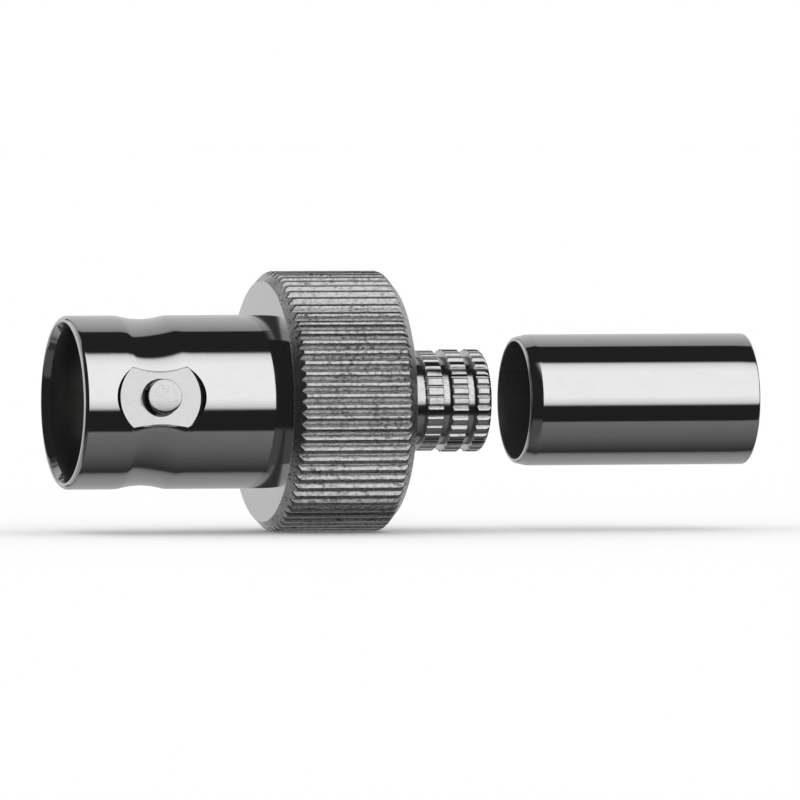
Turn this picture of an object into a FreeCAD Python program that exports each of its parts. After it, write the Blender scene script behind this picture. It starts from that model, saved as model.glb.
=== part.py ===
import FreeCAD, Part
import os
import Sketcher
from FreeCAD import Placement, Rotation, Vector

# Crimp-type coaxial cable jack with bayonet lugs, in millimetres.
# The axis of the connector is X. The mouth is at the origin and faces -X, the cable leaves along +X.

# Driving dimensions
SIZES = {
    # Front barrel, measured from the mouth
    "barrel_diameter": 9.65,
    "barrel_length": 11.46,
    "barrel_bore": 8.12,
    "mouth_edge": 0.16,
    "mouth_lip_bore": 8.92,
    "mouth_band_bore": 8.72,
    "mouth_band_length": 0.43,
    "mouth_cone_length": 0.57,
    "shoulder_depth": 8.4,
    "ledge_thickness": 0.9,
    # Bayonet lugs and the flats that they stand on
    "lug_station": 4.40,
    "lug_diameter": 1.95,
    "lug_span": 11.0,
    "lug_root_fillet": 0.28,
    "lug_turn": 4.9,
    "flat_height": 4.53,
    "flat_diameter": 4.60,
    "flat_wall_spread": 0.26,
    # Relief turned round the barrel between the lugs
    "relief_width": 3.3,
    "relief_depth": 0.045,
    "scallop_at_lugs": 0.02,
    "scallop_at_sides": 0.25,
    "scallop_profile": 4.0,
    "scallop_overlap": 1.5,
    # Knurled grip ring
    "ring_diameter": 14.5,
    "ring_length": 7.16,
    "ring_face_drop": 0.55,
    "ring_front_bevel": 0.55,
    "ring_rear_drop": 0.70,
    "ring_rear_bevel": 0.60,
    "knurl_teeth": 72,
    "knurl_depth": 0.24,
    "knurl_land": 0.19,
    "knurl_turn": 1.3,
    # Insulators
    "insulator_bore": 7.0,
    "insulator_clearance": 0.03,
    "boss_diameter": 4.78,
    "boss_length": 5.2,
    "boss_edge": 0.15,
    "flange_length": 3.0,
    "rear_insulator_length": 1.5,
    # Centre contact
    "contact_diameter": 2.2,
    "contact_recess": 0.2,
    "contact_clearance": 0.02,
    "contact_edge": 0.12,
    "collar_diameter": 2.9,
    "collar_length": 1.2,
    "socket_diameter": 1.4,
    "socket_depth": 4.8,
    "slot_width": 0.2,
    "slot_length": 4.2,
    "wire_barrel_diameter": 2.0,
    "wire_barrel_length": 3.4,
    "wire_bore": 0.95,
    "wire_depth": 3.0,
    "sight_hole": 0.5,
    # Braid support, pressed into the back of the ring
    "shank_diameter": 7.8,
    "chamber_diameter": 4.6,
    "chamber_length": 4.0,
    "cable_bore_diameter": 3.8,
    "cable_entry_edge": 0.25,
    "neck_diameter": 4.9,
    "neck_length": 1.70,
    "front_band_diameter": 5.6,
    "band_diameter": 5.72,
    "front_band_length": 0.92,
    "band_length": 0.91,
    "end_band_length": 0.85,
    "band_gap": 0.51,
    "end_band_edge": 0.18,
    "band_teeth": 30,
    "band_tooth_depth": 0.15,
    "band_tooth_land": 0.30,
    # Crimp ferrule
    "ferrule_diameter": 7.3,
    "ferrule_wall": 0.4,
    "ferrule_length": 13.26,
    "ferrule_mouth_bevel": 0.2,
    "ferrule_end_bevel": 0.12,
    "ferrule_inner_edge": 0.08,
    "ferrule_gap": 2.05,
}

# Places worked out from the driving dimensions
PLACES = {
    "barrel_radius": "Sizes.barrel_diameter / 2",
    "bore_radius": "Sizes.barrel_bore / 2",
    "lip_inner_radius": "Sizes.mouth_lip_bore / 2",
    "lip_outer_radius": "barrel_radius - Sizes.mouth_edge",
    "mouth_band_radius": "Sizes.mouth_band_bore / 2",
    "mouth_cone_end": "Sizes.mouth_band_length + Sizes.mouth_cone_length",
    "ledge_back": "Sizes.shoulder_depth + Sizes.ledge_thickness",
    "ledge_radius": "Sizes.boss_diameter / 2 + Sizes.insulator_clearance",
    "insulator_seat_radius": "Sizes.insulator_bore / 2",
    "support_front": "ledge_back + Sizes.flange_length + Sizes.rear_insulator_length",
    "shank_radius": "Sizes.shank_diameter / 2",
    "ring_radius": "Sizes.ring_diameter / 2",
    "ring_face_radius": "ring_radius - Sizes.ring_face_drop",
    "ring_back": "Sizes.barrel_length + Sizes.ring_length",
    "ring_bevel_end": "Sizes.barrel_length + Sizes.ring_front_bevel",
    "ring_bevel_start": "ring_back - Sizes.ring_rear_bevel",
    "ring_back_radius": "ring_radius - Sizes.ring_rear_drop",
    "lug_radius": "Sizes.lug_diameter / 2",
    "lug_top": "Sizes.lug_span / 2",
    "lug_root": "(bore_radius + Sizes.flat_height) / 2",
    "lug_side": "Sizes.lug_station + lug_radius",
    "lug_fillet_side": "lug_side + Sizes.lug_root_fillet",
    "lug_fillet_top": "Sizes.flat_height + Sizes.lug_root_fillet",
    "lug_blank_top": "lug_top + Sizes.lug_root_fillet",
    "flat_side": "Sizes.lug_station + Sizes.flat_diameter / 2",
    "flat_rim_side": "flat_side + Sizes.flat_wall_spread",
    "cut_reach": "barrel_radius + lug_top",
    "lug_trim_front": "Sizes.lug_station - Sizes.lug_diameter",
    "lug_trim_back": "Sizes.lug_station + Sizes.lug_diameter",
    "relief_front": "Sizes.lug_station - Sizes.relief_width / 2",
    "relief_back": "Sizes.lug_station + Sizes.relief_width / 2",
    "relief_profile": "Sizes.relief_width ^ 2 / (8 * Sizes.relief_depth) + Sizes.relief_depth / 2",
    "scallop_reach": "barrel_radius - Sizes.scallop_at_lugs",
    "scallop_side_reach": "(barrel_radius - Sizes.scallop_at_sides) ^ 2 / scallop_reach",
    "scallop_radius": "(scallop_reach + scallop_side_reach) / 2",
    "scallop_offset": "(scallop_reach - scallop_side_reach) / 2",
    "scallop_sweep": "180 deg + 2 * (asin(scallop_offset / scallop_radius) + Sizes.scallop_overlap * 1 deg)",
    "scallop_half": "Sizes.scallop_profile / 2",
    "scallop_front": "Sizes.lug_station - scallop_half",
    "scallop_back": "Sizes.lug_station + scallop_half",
    "scallop_rise": "scallop_reach + Sizes.scallop_profile"
                    " - sqrt(Sizes.scallop_profile ^ 2 - scallop_half ^ 2)",
    "knurl_floor": "ring_radius - Sizes.knurl_depth",
    "knurl_top": "ring_radius + Sizes.knurl_depth",
    "knurl_top_half": "pi * Sizes.ring_diameter / Sizes.knurl_teeth - Sizes.knurl_land",
    "boss_radius": "Sizes.boss_diameter / 2",
    "boss_front": "Sizes.shoulder_depth - Sizes.boss_length",
    "boss_rim_radius": "boss_radius - Sizes.boss_edge",
    "flange_front": "Sizes.boss_length + Sizes.ledge_thickness",
    "flange_back": "flange_front + Sizes.flange_length",
    "flange_radius": "insulator_seat_radius - Sizes.insulator_clearance",
    "contact_radius": "Sizes.contact_diameter / 2",
    "contact_hole_radius": "contact_radius + Sizes.contact_clearance",
    "collar_radius": "Sizes.collar_diameter / 2",
    "collar_hole_radius": "collar_radius + Sizes.contact_clearance",
    "collar_seat": "flange_back - Sizes.collar_length",
    "contact_front": "boss_front + Sizes.contact_recess",
    "contact_rim_radius": "contact_radius - Sizes.contact_edge",
    "collar_front": "collar_seat - Sizes.contact_recess",
    "collar_back": "collar_front + Sizes.collar_length",
    "wire_barrel_radius": "Sizes.wire_barrel_diameter / 2",
    "wire_barrel_hole_radius": "wire_barrel_radius + Sizes.contact_clearance",
    "contact_back": "collar_back + Sizes.rear_insulator_length + Sizes.wire_barrel_length",
    "socket_radius": "Sizes.socket_diameter / 2",
    "socket_rim_radius": "socket_radius + Sizes.contact_edge",
    "wire_radius": "Sizes.wire_bore / 2",
    "wire_bottom": "contact_back - Sizes.wire_depth",
    "sight_place": "wire_bottom + Sizes.sight_hole",
    "sight_radius": "Sizes.sight_hole / 2",
    "slot_half": "Sizes.slot_width / 2",
    "rear_insulator_front": "ledge_back + Sizes.flange_length",
    "chamber_radius": "Sizes.chamber_diameter / 2",
    "cable_bore_radius": "Sizes.cable_bore_diameter / 2",
    "shank_back": "ring_back - support_front",
    "neck_radius": "Sizes.neck_diameter / 2",
    "band_1_front": "shank_back + Sizes.neck_length",
    "band_1_back": "band_1_front + Sizes.front_band_length",
    "band_2_front": "band_1_back + Sizes.band_gap",
    "band_2_back": "band_2_front + Sizes.band_length",
    "band_3_front": "band_2_back + Sizes.band_gap",
    "band_3_back": "band_3_front + Sizes.end_band_length",
    "end_band_fall": "band_3_back - Sizes.end_band_edge",
    "end_band_rim": "band_radius - Sizes.end_band_edge",
    "band_reach": "band_3_back - shank_back",
    "front_band_radius": "Sizes.front_band_diameter / 2",
    "band_radius": "Sizes.band_diameter / 2",
    "cable_entry": "band_3_back - Sizes.cable_entry_edge",
    "cable_entry_radius": "cable_bore_radius + Sizes.cable_entry_edge",
    "band_tooth_floor": "band_radius - Sizes.band_tooth_depth",
    "band_tooth_top": "band_radius + Sizes.band_tooth_depth",
    "band_tooth_top_half": "pi * Sizes.band_diameter / Sizes.band_teeth - Sizes.band_tooth_land",
    "ferrule_radius": "Sizes.ferrule_diameter / 2",
    "ferrule_bore_radius": "ferrule_radius - Sizes.ferrule_wall",
    "ferrule_mouth_radius": "ferrule_radius - Sizes.ferrule_mouth_bevel",
    "ferrule_end_radius": "ferrule_radius - Sizes.ferrule_end_bevel",
    "ferrule_bevel_start": "Sizes.ferrule_length - Sizes.ferrule_end_bevel",
    "ferrule_inner_radius": "ferrule_bore_radius + Sizes.ferrule_inner_edge",
    "ferrule_inner_back": "Sizes.ferrule_length - Sizes.ferrule_inner_edge",
    "ferrule_place": "support_front + band_3_back + Sizes.ferrule_gap",
}

doc = FreeCAD.newDocument("CableJack")


def make_sheet(name, rows):
    sheet = doc.addObject("Spreadsheet::Sheet", name)
    for row, (alias, content) in enumerate(rows.items(), start=1):
        sheet.set("A%d" % row, alias)
        sheet.set("B%d" % row, str(content))
        sheet.setAlias("B%d" % row, alias)
    doc.recompute()
    return sheet


sizes = make_sheet("Sizes", SIZES)
places = make_sheet("Places", {alias: "=" + formula for alias, formula in PLACES.items()})


def cell(name):
    """The expression that reads a named value from its sheet."""
    return ("Sizes." if name in SIZES else "Places.") + name


def value(name):
    """The present number in a named cell."""
    if name == "zero":
        return 0.0
    return float(getattr(sizes if name in SIZES else places, name))


def new_body(label, place=None):
    body = doc.addObject("PartDesign::Body", label + "_body")
    body.Label = label
    if place:
        body.setExpression(".Placement.Base.x", cell(place))
    return body


def origin_item(body, role):
    return [item for item in body.Origin.OriginFeatures if item.Role == role][0]


def new_sketch(body, name, role, offset=None):
    sketch = body.newObject("Sketcher::SketchObject", name)
    sketch.AttachmentSupport = [(origin_item(body, role), "")]
    sketch.MapMode = "FlatFace"
    if offset:
        sketch.setExpression(".AttachmentOffset.Base.z", cell(offset))
    return sketch


def limit(sketch, constraint, name):
    """Adds a dimension whose size is read from a named cell."""
    index = sketch.addConstraint(constraint)
    sketch.setExpression("Constraints[%d]" % index, cell(name))


def pin_point(sketch, curve, end, across, up):
    """Holds one end of a curve at two named distances from the sketch's axes."""
    for kind, name, axis in (("DistanceX", across, -2), ("DistanceY", up, -1)):
        if name == "zero":
            sketch.addConstraint(Sketcher.Constraint("PointOnObject", curve, end, axis))
        else:
            limit(sketch, Sketcher.Constraint(kind, -1, 1, curve, end, value(name)), name)


def arc_crown(start, finish, radius, side):
    """Middle of the short arc from start to finish. Its centre lies left of the chord where side is 1."""
    chord = finish - start
    middle = (start + finish) * 0.5
    rise = max(radius ** 2 - (chord.Length / 2) ** 2, 0.0) ** 0.5
    left = Vector(-chord.y, chord.x, 0).normalize() * side
    return middle + left * (rise - radius)


def draw_outline(sketch, corners, arcs=None):
    """Closed outline through named corners. arcs maps a corner's number to (radius, side) of its arc."""
    arcs = arcs or {}
    points = [Vector(value(across), value(up), 0) for across, up in corners]
    curves = []
    for number, start in enumerate(points):
        finish = points[(number + 1) % len(points)]
        if number in arcs:
            radius, side = arcs[number]
            shape = Part.Arc(start, arc_crown(start, finish, value(radius), side), finish)
        else:
            shape = Part.LineSegment(start, finish)
        index = sketch.addGeometry(shape, False)
        first = 1 if sketch.getPoint(index, 1).distanceToPoint(start) < 1e-6 else 2
        curves.append((index, first, 3 - first))
    for number, (index, first, last) in enumerate(curves):
        following = curves[(number + 1) % len(curves)]
        sketch.addConstraint(Sketcher.Constraint("Coincident", index, last, following[0], following[1]))
        pin_point(sketch, index, first, *corners[number])
    for number, (radius, side) in arcs.items():
        limit(sketch, Sketcher.Constraint("Radius", curves[number][0], value(radius)), radius)


def draw_axis(sketch, start, finish):
    """Construction line between two named points, for a turn about something else than X."""
    ends = [Vector(value(across), value(up), 0) for across, up in (start, finish)]
    index = sketch.addGeometry(Part.LineSegment(*ends), True)
    pin_point(sketch, index, 1, *start)
    pin_point(sketch, index, 2, *finish)


def draw_notch(sketch, floor, top, half_width):
    """V-shaped notch that opens upward, even on both sides of the upright axis."""
    root = Vector(0, value(floor), 0)
    left = Vector(-value(half_width), value(top), 0)
    right = Vector(value(half_width), value(top), 0)
    first = sketch.addGeometry(Part.LineSegment(root, right), False)
    second = sketch.addGeometry(Part.LineSegment(right, left), False)
    third = sketch.addGeometry(Part.LineSegment(left, root), False)
    sketch.addConstraint(Sketcher.Constraint("Coincident", first, 2, second, 1))
    sketch.addConstraint(Sketcher.Constraint("Coincident", second, 2, third, 1))
    sketch.addConstraint(Sketcher.Constraint("Coincident", third, 2, first, 1))
    sketch.addConstraint(Sketcher.Constraint("Symmetric", second, 1, second, 2, -2))
    pin_point(sketch, first, 1, "zero", floor)
    pin_point(sketch, first, 2, half_width, top)


def draw_bar(sketch, half_width, half_height):
    """Rectangle centred on the sketch's origin."""
    wide, high = value(half_width), value(half_height)
    points = [Vector(wide, high, 0), Vector(-wide, high, 0), Vector(-wide, -high, 0), Vector(wide, -high, 0)]
    lines = []
    for number, start in enumerate(points):
        lines.append(sketch.addGeometry(Part.LineSegment(start, points[(number + 1) % 4]), False))
    for number, line in enumerate(lines):
        sketch.addConstraint(Sketcher.Constraint("Coincident", line, 2, lines[(number + 1) % 4], 1))
        sketch.addConstraint(Sketcher.Constraint("Vertical" if number % 2 else "Horizontal", line))
    sketch.addConstraint(Sketcher.Constraint("Symmetric", lines[0], 1, lines[2], 1, -1, 1))
    pin_point(sketch, lines[0], 1, half_width, half_height)


def turn(body, kind, name, sketch, axis="H_Axis"):
    """Turns a sketch about an axis of its own, to add (Revolution) or to cut (Groove)."""
    feature = body.newObject("PartDesign::" + kind, name)
    feature.Profile = sketch
    feature.ReferenceAxis = (sketch, [axis])
    return feature


def cut_along(body, name, sketch, length):
    """Pocket from a sketch toward the side that its plane faces."""
    pocket = body.newObject("PartDesign::Pocket", name)
    pocket.Profile = sketch
    pocket.Reversed = True
    pocket.setExpression("Length", cell(length))
    return pocket


def repeat_round(body, name, originals, count):
    """Full-circle pattern about the X axis."""
    pattern = body.newObject("PartDesign::PolarPattern", name)
    pattern.Originals = originals
    pattern.Axis = (origin_item(body, "X_Axis"), [""])
    pattern.Angle = 360
    if isinstance(count, str):
        pattern.setExpression("Occurrences", cell(count))
    else:
        pattern.Occurrences = count
    body.Tip = pattern
    return pattern


def make_shell():
    """Barrel and grip ring in one turned piece, with the two milled lugs."""
    body = new_body("shell")
    sketch = new_sketch(body, "shell_profile", "XY_Plane")
    draw_outline(sketch, [
        ("zero", "lip_inner_radius"),
        ("zero", "lip_outer_radius"),
        ("mouth_edge", "barrel_radius"),
        ("barrel_length", "barrel_radius"),
        ("barrel_length", "ring_face_radius"),
        ("ring_bevel_end", "ring_radius"),
        ("ring_bevel_start", "ring_radius"),
        ("ring_back", "ring_back_radius"),
        ("ring_back", "shank_radius"),
        ("support_front", "shank_radius"),
        ("support_front", "insulator_seat_radius"),
        ("ledge_back", "insulator_seat_radius"),
        ("ledge_back", "ledge_radius"),
        ("shoulder_depth", "ledge_radius"),
        ("shoulder_depth", "bore_radius"),
        ("mouth_cone_end", "bore_radius"),
        ("mouth_band_length", "mouth_band_radius"),
    ])
    turn(body, "Revolution", "shell_turned", sketch)
    cut_relief(body)
    originals = [cut_scallop(body), cut_flat(body), add_lug(body)]
    repeat_round(body, "both_lugs", originals, 2)
    trim_lugs(body)
    cut_knurl(body, "grip", "barrel_length", "ring_length", "knurl_teeth",
              ("knurl_floor", "knurl_top", "knurl_top_half"), "knurl_turn")
    # The lugs lie close to the Y axis, clocked a little about X
    body.Placement = Placement(Vector(), Rotation(Vector(-1, 0, 0), value("lug_turn")))
    body.setExpression(".Placement.Rotation.Angle", cell("lug_turn"))
    return body


def cut_relief(body):
    """Very shallow hollow all round the barrel at the lugs' station."""
    sketch = new_sketch(body, "relief_profile_sketch", "XY_Plane")
    draw_outline(sketch, [
        ("relief_front", "barrel_radius"),
        ("relief_back", "barrel_radius"),
        ("relief_back", "cut_reach"),
        ("relief_front", "cut_reach"),
    ], {0: ("relief_profile", 1)})
    turn(body, "Groove", "relief", sketch)


def cut_scallop(body):
    """Deeper hollow on one half of the barrel, turned about an axis that lies toward the lug."""
    sketch = new_sketch(body, "scallop_profile_sketch", "XY_Plane")
    draw_outline(sketch, [
        ("scallop_front", "scallop_rise"),
        ("scallop_back", "scallop_rise"),
        ("scallop_back", "cut_reach"),
        ("scallop_front", "cut_reach"),
    ], {0: ("scallop_profile", 1)})
    draw_axis(sketch, ("zero", "scallop_offset"), ("lug_station", "scallop_offset"))
    groove = turn(body, "Groove", "scallop", sketch, "Axis0")
    groove.Midplane = True
    groove.setExpression("Angle", cell("scallop_sweep"))
    return groove


def cut_flat(body):
    """Round flat that the lug stands on, with a sloping wall."""
    sketch = new_sketch(body, "flat_profile", "XY_Plane")
    draw_outline(sketch, [
        ("lug_station", "flat_height"),
        ("flat_side", "flat_height"),
        ("flat_rim_side", "barrel_radius"),
        ("flat_rim_side", "cut_reach"),
        ("lug_station", "cut_reach"),
    ])
    draw_axis(sketch, ("lug_station", "zero"), ("lug_station", "flat_height"))
    return turn(body, "Groove", "flat", sketch, "Axis0")


def add_lug(body):
    """Bayonet lug with a filleted root, left long for the trimming cut."""
    sketch = new_sketch(body, "lug_profile", "XY_Plane")
    draw_outline(sketch, [
        ("lug_station", "lug_root"),
        ("lug_fillet_side", "lug_root"),
        ("lug_fillet_side", "flat_height"),
        ("lug_side", "lug_fillet_top"),
        ("lug_side", "lug_blank_top"),
        ("lug_station", "lug_blank_top"),
    ], {2: ("lug_root_fillet", -1)})
    draw_axis(sketch, ("lug_station", "zero"), ("lug_station", "lug_root"))
    return turn(body, "Revolution", "lug", sketch, "Axis0")


def trim_lugs(body):
    """Turns the tops of both lugs to their span, so that they follow a cylinder."""
    sketch = new_sketch(body, "lug_trim_profile", "XY_Plane")
    draw_outline(sketch, [
        ("lug_trim_front", "lug_top"),
        ("lug_trim_back", "lug_top"),
        ("lug_trim_back", "cut_reach"),
        ("lug_trim_front", "cut_reach"),
    ])
    turn(body, "Groove", "lug_tops", sketch)


def cut_knurl(body, name, start, length, count, notch, phase=None):
    """Straight knurl: one V-groove along X, repeated round the axis."""
    sketch = new_sketch(body, name + "_notch", "YZ_Plane", start)
    if phase:
        sketch.AttachmentOffset = Placement(Vector(0, 0, value(start)), Rotation(Vector(0, 0, -1), value(phase)))
        sketch.setExpression(".AttachmentOffset.Rotation.Angle", cell(phase))
    draw_notch(sketch, *notch)
    repeat_round(body, name + "_knurl", [cut_along(body, name + "_groove", sketch, length)], count)


def make_front_insulator():
    """Nose that guides the mating contact, and the flange that is held behind the ledge."""
    body = new_body("front_insulator", "boss_front")
    sketch = new_sketch(body, "front_insulator_profile", "XY_Plane")
    draw_outline(sketch, [
        ("zero", "contact_hole_radius"),
        ("zero", "boss_rim_radius"),
        ("boss_edge", "boss_radius"),
        ("flange_front", "boss_radius"),
        ("flange_front", "flange_radius"),
        ("flange_back", "flange_radius"),
        ("flange_back", "collar_hole_radius"),
        ("collar_seat", "collar_hole_radius"),
        ("collar_seat", "contact_hole_radius"),
    ])
    turn(body, "Revolution", "front_insulator_turned", sketch)
    return body


def make_rear_insulator():
    """Washer that locks the contact's collar from behind."""
    body = new_body("rear_insulator", "rear_insulator_front")
    sketch = new_sketch(body, "rear_insulator_profile", "XY_Plane")
    draw_outline(sketch, [
        ("zero", "wire_barrel_hole_radius"),
        ("zero", "flange_radius"),
        ("rear_insulator_length", "flange_radius"),
        ("rear_insulator_length", "wire_barrel_hole_radius"),
    ])
    turn(body, "Revolution", "rear_insulator_turned", sketch)
    return body


def make_contact():
    """Slotted socket in front, locking collar, and the barrel that grips the cable's wire."""
    body = new_body("socket_contact", "contact_front")
    sketch = new_sketch(body, "contact_profile", "XY_Plane")
    draw_outline(sketch, [
        ("socket_depth", "zero"),
        ("socket_depth", "socket_radius"),
        ("contact_edge", "socket_radius"),
        ("zero", "socket_rim_radius"),
        ("zero", "contact_rim_radius"),
        ("contact_edge", "contact_radius"),
        ("collar_front", "contact_radius"),
        ("collar_front", "collar_radius"),
        ("collar_back", "collar_radius"),
        ("collar_back", "wire_barrel_radius"),
        ("contact_back", "wire_barrel_radius"),
        ("contact_back", "wire_radius"),
        ("wire_bottom", "wire_radius"),
        ("wire_bottom", "zero"),
    ])
    turn(body, "Revolution", "contact_turned", sketch)
    slot = new_sketch(body, "slot_outline", "YZ_Plane")
    draw_bar(slot, "slot_half", "contact_diameter")
    repeat_round(body, "both_slots", [cut_along(body, "slot", slot, "slot_length")], 4)
    sight = new_sketch(body, "sight_outline", "XY_Plane")
    ring = Part.Circle(Vector(value("sight_place"), 0, 0), Vector(0, 0, 1), value("sight_radius"))
    circle = sight.addGeometry(ring, False)
    pin_point(sight, circle, 3, "sight_place", "zero")
    limit(sight, Sketcher.Constraint("Radius", circle, value("sight_radius")), "sight_radius")
    cut_along(body, "sight_hole_cut", sight, "wire_barrel_diameter")
    return body


def make_braid_support():
    """Stem with three knurled bands under the cable's braid, and the shank that is pressed into the ring."""
    body = new_body("braid_support", "support_front")
    sketch = new_sketch(body, "support_profile", "XY_Plane")
    corners = [
        ("zero", "chamber_radius"),
        ("zero", "shank_radius"),
        ("shank_back", "shank_radius"),
        ("shank_back", "neck_radius"),
    ]
    for band, radius in (("band_1", "front_band"), ("band_2", "band"), ("band_3", "band")):
        corners += [
            (band + "_front", "neck_radius"),
            (band + "_front", radius + "_radius"),
        ]
        if band != "band_3":
            corners += [
                (band + "_back", radius + "_radius"),
                (band + "_back", "neck_radius"),
            ]
    corners += [
        ("end_band_fall", "band_radius"),
        ("band_3_back", "end_band_rim"),
        ("band_3_back", "cable_entry_radius"),
        ("cable_entry", "cable_bore_radius"),
        ("chamber_length", "cable_bore_radius"),
        ("chamber_length", "chamber_radius"),
    ]
    draw_outline(sketch, corners)
    turn(body, "Revolution", "support_turned", sketch)
    cut_knurl(body, "band", "shank_back", "band_reach", "band_teeth",
              ("band_tooth_floor", "band_tooth_top", "band_tooth_top_half"))
    return body


def make_ferrule():
    """Plain tube that is crimped over the braid. It stands off the stem on the cable's axis."""
    body = new_body("crimp_ferrule", "ferrule_place")
    sketch = new_sketch(body, "ferrule_profile", "XY_Plane")
    draw_outline(sketch, [
        ("zero", "ferrule_inner_radius"),
        ("zero", "ferrule_mouth_radius"),
        ("ferrule_mouth_bevel", "ferrule_radius"),
        ("ferrule_bevel_start", "ferrule_radius"),
        ("ferrule_length", "ferrule_end_radius"),
        ("ferrule_length", "ferrule_inner_radius"),
        ("ferrule_inner_back", "ferrule_bore_radius"),
        ("ferrule_inner_edge", "ferrule_bore_radius"),
    ])
    turn(body, "Revolution", "ferrule_turned", sketch)
    return body


bodies = [
    make_shell(),
    make_front_insulator(),
    make_rear_insulator(),
    make_contact(),
    make_braid_support(),
    make_ferrule(),
]
doc.recompute()

for item in doc.Objects:
    if "Invalid" in item.State or "Error" in item.State:
        raise RuntimeError("%s did not compute: %s" % (item.Name, item.State))
for body in bodies:
    if body.Shape.isNull() or not body.Shape.isValid() or len(body.Shape.Solids) != 1:
        raise RuntimeError("%s is not one valid solid" % body.Label)

os.makedirs("parts", exist_ok=True)
for body in bodies:
    body.Shape.exportStep("parts/%s.step" % body.Label)
    print("%s: %.2f mm3" % (body.Label, body.Shape.Volume))
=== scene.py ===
import bmesh
import bpy
import math
from mathutils import Matrix, Quaternion, Vector
from mathutils.kdtree import KDTree


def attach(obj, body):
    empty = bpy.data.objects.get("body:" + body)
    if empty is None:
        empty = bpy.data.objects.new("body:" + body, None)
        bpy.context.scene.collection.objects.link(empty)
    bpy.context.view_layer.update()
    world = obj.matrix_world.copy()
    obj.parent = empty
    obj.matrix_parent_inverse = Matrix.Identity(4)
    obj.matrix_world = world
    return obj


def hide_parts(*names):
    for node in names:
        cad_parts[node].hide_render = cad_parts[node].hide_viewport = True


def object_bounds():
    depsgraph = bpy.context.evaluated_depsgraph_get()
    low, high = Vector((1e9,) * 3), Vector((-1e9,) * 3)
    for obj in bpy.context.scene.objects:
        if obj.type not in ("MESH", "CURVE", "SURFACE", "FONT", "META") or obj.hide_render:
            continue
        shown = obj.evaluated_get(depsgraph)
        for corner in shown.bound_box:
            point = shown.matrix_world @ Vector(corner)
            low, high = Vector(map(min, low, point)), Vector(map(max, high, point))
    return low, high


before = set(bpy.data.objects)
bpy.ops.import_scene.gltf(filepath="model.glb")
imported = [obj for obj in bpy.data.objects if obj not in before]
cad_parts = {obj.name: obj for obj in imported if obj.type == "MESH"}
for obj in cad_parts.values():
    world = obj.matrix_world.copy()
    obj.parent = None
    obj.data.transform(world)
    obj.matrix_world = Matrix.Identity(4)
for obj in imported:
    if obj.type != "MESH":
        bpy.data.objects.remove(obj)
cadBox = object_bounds()
bpy.context.scene.view_settings.view_transform = "Standard"
print("frame loaded")

mm = 0.001


# a Math node, fed by sockets or plain numbers
def mathNode(tree, operation, *values):
    node = tree.nodes.new("ShaderNodeMath")
    node.operation = operation
    for place, value in enumerate(values):
        if isinstance(value, (int, float)):
            node.inputs[place].default_value = value
        else:
            tree.links.new(value, node.inputs[place])
    return node.outputs[0]


# goes smoothly from 0 to 1 while the value goes from low to high
def riseNode(tree, value, low, high):
    node = tree.nodes.new("ShaderNodeMapRange")
    node.interpolation_type = "SMOOTHSTEP"
    tree.links.new(value, node.inputs["Value"])
    node.inputs["From Min"].default_value = low
    node.inputs["From Max"].default_value = high
    return node.outputs["Result"]


# a colour mix, whose two colours are sockets or plain greys
def mixNode(tree, share, first, second):
    node = tree.nodes.new("ShaderNodeMix")
    node.data_type = "RGBA"
    tree.links.new(share, node.inputs["Factor"])
    for name, value in (("A", first), ("B", second)):
        if isinstance(value, (int, float)):
            node.inputs[name].default_value = (value, value, value, 1)
        else:
            tree.links.new(value, node.inputs[name])
    return node.outputs["Result"]


def newMaterial(name):
    material = bpy.data.materials.new(name)
    material.use_nodes = True
    return material, material.node_tree, material.node_tree.nodes["Principled BSDF"]


nickelColor = (0.815, 0.815, 0.81)
plating = {  # spread is what wear adds to the roughness, grain is its scale, height is in mm
    "nickelBright": {"tone": 1.0, "metallic": 1, "roughness": 0.05, "spread": 0.03,
                     "wear": 0.03, "grain": 1400, "height": 0.0004},
    "nickelMilled": {"tone": 0.86, "metallic": 1, "roughness": 0.10, "spread": 0.06,
                     "wear": 0.06, "grain": 5000, "height": 0.0010},
    "nickelLug": {"tone": 0.88, "metallic": 1, "roughness": 0.12, "spread": 0.10,
                  "wear": 0.15, "grain": 9000, "height": 0.0030},
    "nickelWorn": {"tone": 0.80, "metallic": 1, "roughness": 0.22, "spread": 0.22,
                   "wear": 0.72, "grain": 7000, "height": 0.0130},
    "nickelStem": {"tone": 0.90, "metallic": 1, "roughness": 0.09, "spread": 0.09,
                   "wear": 0.26, "grain": 6000, "height": 0.0040},
    # this finish is nickel darkened to paint the shade at the lug's root and along the flats' upper
    # rim
    "nickelRootPaintedShade": {"tone": 0.16, "metallic": 1, "roughness": 0.15, "spread": 0.05,
                   "wear": 0.10, "grain": 6000, "height": 0.0020},
    # these two bore finishes are nickel darkened to paint the shade inside the bores
    "nickelBorePaintedShade": {"tone": 0.15, "metallic": 0.9, "roughness": 0.32, "spread": 0.06,
                   "wear": 0.15, "grain": 3000, "height": 0.0020},
    "ferruleBorePaintedShade": {"tone": 0.24, "metallic": 0.75, "roughness": 0.32, "spread": 0.06,
                    "wear": 0.15, "grain": 3000, "height": 0.0020},
}
wearNoise = {
    "noiseRoughness": 0.65,
    "grainDetail": 4, "grainStretch": (0.55, 1, 1), "speckle": (0.44, 0.66),
    "patchScale": 600, "patchDetail": 2, "patchStretch": (1, 1, 1), "blotch": (0.35, 0.75),
    "between": 0.5,  # wear left between the blotches
    "wornTone": 0.22,
}


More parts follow.
